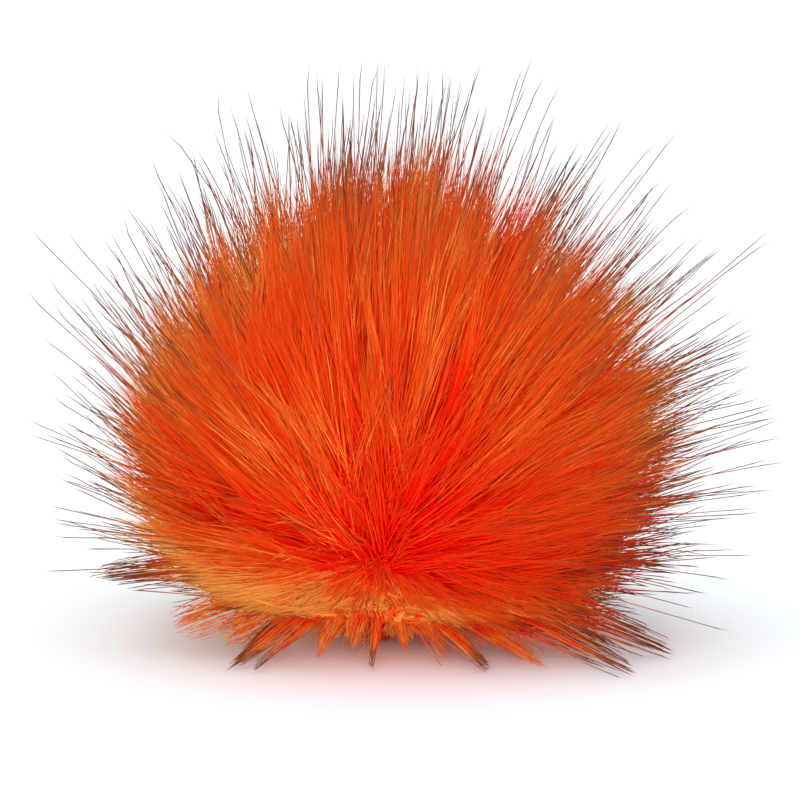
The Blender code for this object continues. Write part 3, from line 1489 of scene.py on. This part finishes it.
    def map_of(self, mesh: StrandMesh, place: Array) -> Array:
        """Lay the strands out on their map.

        Args:
            mesh: The modelled strand.
            place: Each strand's place across the map.

        Returns:
            The places of each triangle's corners, N x C x 2.
        """
        margin = self.layout.margin
        corner = mesh.faces.ravel()
        across = mesh.corner[corner] * self.layout.strand
        along = margin + (1.0 - 2.0 * margin) * mesh.along[corner]
        cap = (mesh.along[mesh.faces] < TINY).all(axis=1).repeat(3)
        along = np.where(cap & (mesh.corner[corner] == 1), along + margin, along)
        places = np.empty((len(place), len(corner), 2))
        places[:, :, 0] = place[:, None] + across[None]
        places[:, :, 1] = along[None]
        return places

    def join(
        self, zone: Zone, sets: list[StrandSet], material: bpy.types.Material
    ) -> bpy.types.Object:
        """Join the zone's strands of all layers into one piece.

        Args:
            zone: The zone.
            sets: Its strands, one set a layer.
            material: The fur's material.

        Returns:
            The finished piece.
        """
        points, faces, places, start = [], [], [], 0
        for strands in sets:
            count, size = strands.points.shape[:2]
            shift = start + np.arange(count)[:, None, None] * size
            points.append(strands.points.reshape(-1, 3))
            faces.append((strands.mesh.faces[None] + shift).reshape(-1, 3))
            places.append(strands.places.reshape(-1, 2))
            start += count * size
        piece = mesh_piece(f"fur_{zone.value}", np.concatenate(points), np.concatenate(faces))
        layer = piece.data.uv_layers.new(name=FUR_MAP)
        layer.uv.foreach_set("vector", np.concatenate(places).astype(np.float32).ravel())
        piece.data.materials.append(material)
        self.soften(piece.data)
        LOG.info("%s: %d triangles", piece.name, len(piece.data.polygons))
        return piece

    def soften(self, mesh: bpy.types.Mesh) -> None:
        """Turn the strands' normals part of the way outwards, as the coat spreads the light.

        Args:
            mesh: The mesh of the strands.
        """
        size = 3 * len(mesh.vertices)
        points, normals = np.empty(size, np.float32), np.empty(size, np.float32)
        mesh.vertices.foreach_get("co", points)
        mesh.vertex_normals.foreach_get("vector", normals)
        outward = unit(points.reshape(-1, 3) - self.flow.centre)
        turned = normals.reshape(-1, 3) * (1.0 - self.softness) + outward * self.softness
        mesh.normals_split_custom_set_from_vertices(unit(turned).astype(np.float32))


def mesh_piece(name: str, points: Array, faces: Array) -> bpy.types.Object:
    """Make a smooth-shaded object of triangles.

    Args:
        name: The object's name.
        points: Its points.
        faces: Its triangles.

    Returns:
        The new object, in the scene.
    """
    mesh = bpy.data.meshes.new(name)
    mesh.vertices.add(len(points))
    mesh.vertices.foreach_set("co", points.astype(np.float32).ravel())
    mesh.loops.add(faces.size)
    mesh.loops.foreach_set("vertex_index", faces.astype(np.int32).ravel())
    mesh.polygons.add(len(faces))
    mesh.polygons.foreach_set("loop_start", np.arange(0, faces.size, 3, dtype=np.int32))
    mesh.polygons.foreach_set("use_smooth", np.ones(len(faces), dtype=bool))
    mesh.update(calc_edges=True)
    mesh.validate()
    piece = bpy.data.objects.new(name, mesh)
    bpy.context.scene.collection.objects.link(piece)
    return piece


# ---- the backing


@dataclass
class Backing:
    """The round backing of gathered cloth, thick with the roots of the fur."""

    flow: FurFlow
    finish: BackingFinish = BackingFinish()
    segments: int = 64
    rings: int = 40
    root_depth: float = 1.5 * MM
    neck_radius: float = 3.5 * MM
    neck_power: int = 6
    floor_gap: float = 0.3 * MM
    lump: float = 0.8 * MM
    lump_size: float = 4.0 * MM

    def build(self) -> bpy.types.Object:
        """Model the backing.

        Returns:
            The finished piece.
        """
        radius = self.flow.root_radius + self.root_depth
        bpy.ops.object.select_all(action="DESELECT")
        bpy.ops.mesh.primitive_uv_sphere_add(
            segments=self.segments,
            ring_count=self.rings,
            radius=radius,
            location=tuple(self.flow.centre),
        )
        piece = bpy.context.object
        piece.name = "backing"
        bpy.ops.object.transform_apply(location=True, rotation=True, scale=True)
        self.draw_down(piece.data, radius)
        texture = bpy.data.textures.new("root_lumps", "CLOUDS")
        texture.noise_scale = self.lump_size
        lumps = piece.modifiers.new("lumps", "DISPLACE")
        lumps.texture = texture
        lumps.strength = self.lump
        bpy.ops.object.modifier_apply(modifier=lumps.name)
        for vert in piece.data.vertices:
            vert.co.z = max(vert.co.z, self.floor_gap)
        piece.data.shade_smooth()
        piece.data.materials.append(self.finish.material())
        LOG.info("%s: %d faces", piece.name, len(piece.data.polygons))
        return piece

    def draw_down(self, mesh: bpy.types.Mesh, radius: float) -> None:
        """Draw the lowest part of the ball down to the flat spot, as a short neck.

        Args:
            mesh: The ball's mesh.
            radius: The ball's radius.
        """
        centre = self.flow.backing_height
        for vert in mesh.vertices:
            level = math.hypot(vert.co.x, vert.co.y)
            if vert.co.z < centre and level < self.neck_radius:
                fade = 1.0 - (level / self.neck_radius) ** self.neck_power
                vert.co.z -= (centre - radius) * fade


# ---- the studio


@dataclass
class Studio:
    """The pale floor, the soft lights and the camera, framed as in the photograph."""

    flow: FurFlow
    picture: float = 800.0
    pixel: float = 0.2 * MM
    parting_pixel: Range = (380.0, 555.0)
    distance: float = 0.8
    sensor: float = 36.0
    nearest_seen: float = 0.01
    floor_side: float = 12.0
    floor_colour: Colour = (0.875, 0.92, 0.94)
    floor_roughness: float = 0.9
    front_place: Place = (0.05, -1.10, 0.08)
    front_aim: Place = (0.0, 0.0, 0.045)
    front_side: float = 0.80
    front_power: float = 11.0
    overhead_place: Place = (0.0, 0.0, 1.0)
    overhead_turn: Place = (math.radians(12.0), math.radians(-8.0), 0.0)
    overhead_power: float = 0.70
    overhead_spread: float = math.radians(45.0)
    world_colour: Colour = (0.95, 0.98, 1.0)
    world_strength: float = 1.0

    def build(self) -> None:
        """Set the studio up."""
        self.floor()
        self.world()
        self.front_light()
        self.overhead()
        self.camera()

    def put(self, name: str, data: bpy.types.ID, place: Place, turn: Place) -> bpy.types.Object:
        """Put a lamp or a camera in the scene.

        Args:
            name: Its name.
            data: The lamp or the camera.
            place: Where it stands.
            turn: How it is turned, as Euler angles.

        Returns:
            Its object.
        """
        item = bpy.data.objects.new(name, data)
        item.location = place
        item.rotation_euler = turn
        bpy.context.scene.collection.objects.link(item)
        return item

    def camera(self) -> None:
        """Place the camera so that the parting falls on its pixel."""
        right = (self.picture / 2.0 - self.parting_pixel[0]) * self.pixel
        above = (self.parting_pixel[1] - self.picture / 2.0) * self.pixel
        target = self.flow.centre + np.array((right, 0.0, 0.0)) + self.flow.rise * above
        data = bpy.data.cameras.new("camera")
        data.sensor_width = self.sensor
        data.lens = self.sensor * self.distance / (self.picture * self.pixel)
        data.clip_start = self.nearest_seen
        place = Vector(target + self.flow.parting * self.distance)
        turn = (math.pi / 2.0 - self.flow.parting_elevation, 0.0, 0.0)
        bpy.context.scene.camera = self.put("camera", data, place, turn)

    def front_light(self) -> None:
        """Add the square soft light that faces the pom pom."""
        data = bpy.data.lights.new("front_light", "AREA")
        data.size = self.front_side
        data.energy = self.front_power
        aim = Vector(self.front_aim) - Vector(self.front_place)
        self.put("front_light", data, self.front_place, aim.to_track_quat("-Z", "Y").to_euler())

    def overhead(self) -> None:
        """Add the broad light from above."""
        data = bpy.data.lights.new("overhead", "SUN")
        data.energy = self.overhead_power
        data.angle = self.overhead_spread
        self.put("overhead", data, self.overhead_place, self.overhead_turn)

    def floor(self) -> None:
        """Lay the pale floor."""
        bpy.ops.object.select_all(action="DESELECT")
        bpy.ops.mesh.primitive_plane_add(size=self.floor_side)
        floor = bpy.context.object
        floor.name = "floor"
        graph = Graph("pale_floor")
        graph.constants(Roughness=self.floor_roughness, Base_Color=(*self.floor_colour, 1.0))
        floor.data.materials.append(graph.material)

    def world(self) -> None:
        """Light the studio evenly from all sides."""
        world = bpy.data.worlds.new("studio")
        world.use_nodes = True
        background = world.node_tree.nodes["Background"]
        background.inputs["Color"].default_value = (*self.world_colour, 1.0)
        background.inputs["Strength"].default_value = self.world_strength
        bpy.context.scene.world = world
        bpy.context.scene.view_settings.view_transform = "Standard"


def main() -> None:
    """Build the pom pom and the studio."""
    logging.basicConfig(level=logging.INFO, format="%(name)s: %(message)s")
    flow = FurFlow()
    Studio(flow).build()
    pieces = [Backing(flow).build(), *FurCoat(flow).build()]
    for piece in pieces:
        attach(piece, BODY)
        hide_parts(NODE)
        LOG.info("%s rides on %s", piece.name, BODY)


if __name__ == "__main__":
    main()
